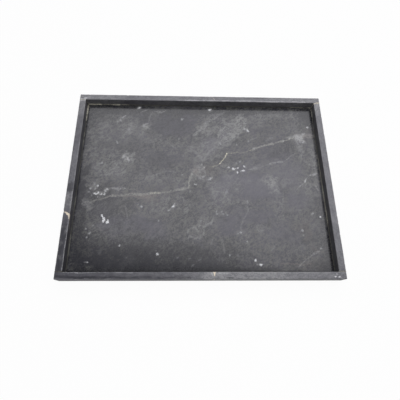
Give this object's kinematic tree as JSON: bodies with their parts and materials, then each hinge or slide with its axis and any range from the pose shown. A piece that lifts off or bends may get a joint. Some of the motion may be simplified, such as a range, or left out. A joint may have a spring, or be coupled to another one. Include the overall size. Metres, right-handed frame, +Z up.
{
  "type": "serving tray",
  "caption": "Rectangular serving tray of dark veined marble: a flat base slab framed by low upright stone strips, glued with cream resin, on felt pads.",
  "frame": {"origin": "under the centre of the tray, on the surface that the felt pads stand on", "axes": "+X along the long side to the right, +Y from the front to the back, +Z up"},
  "size_m": [0.4, 0.3, 0.0223],
  "materials": {
    "slab_marble": "semi-polished dark grey marble with cream veins and light flecks",
    "strip_marble": "honed dark grey marble, mottled",
    "joint_resin": "cured cream resin adhesive, satin",
    "pad_felt": "pressed black felt"
  },
  "bodies": {
    "root": {"base_slab": "slab_marble", "front_strip": "strip_marble", "back_strip": "strip_marble", "left_strip": "strip_marble", "right_strip": "strip_marble", "base_seam_front": "joint_resin", "base_seam_back": "joint_resin", "base_seam_left": "joint_resin", "base_seam_right": "joint_resin", "corner_joint_front_left": "joint_resin", "corner_joint_front_right": "joint_resin", "corner_joint_back_left": "joint_resin", "corner_joint_back_right": "joint_resin", "felt_pad_front_left": "pad_felt", "felt_pad_front_right": "pad_felt", "felt_pad_back_left": "pad_felt", "felt_pad_back_right": "pad_felt"}
  },
  "joints": []
}
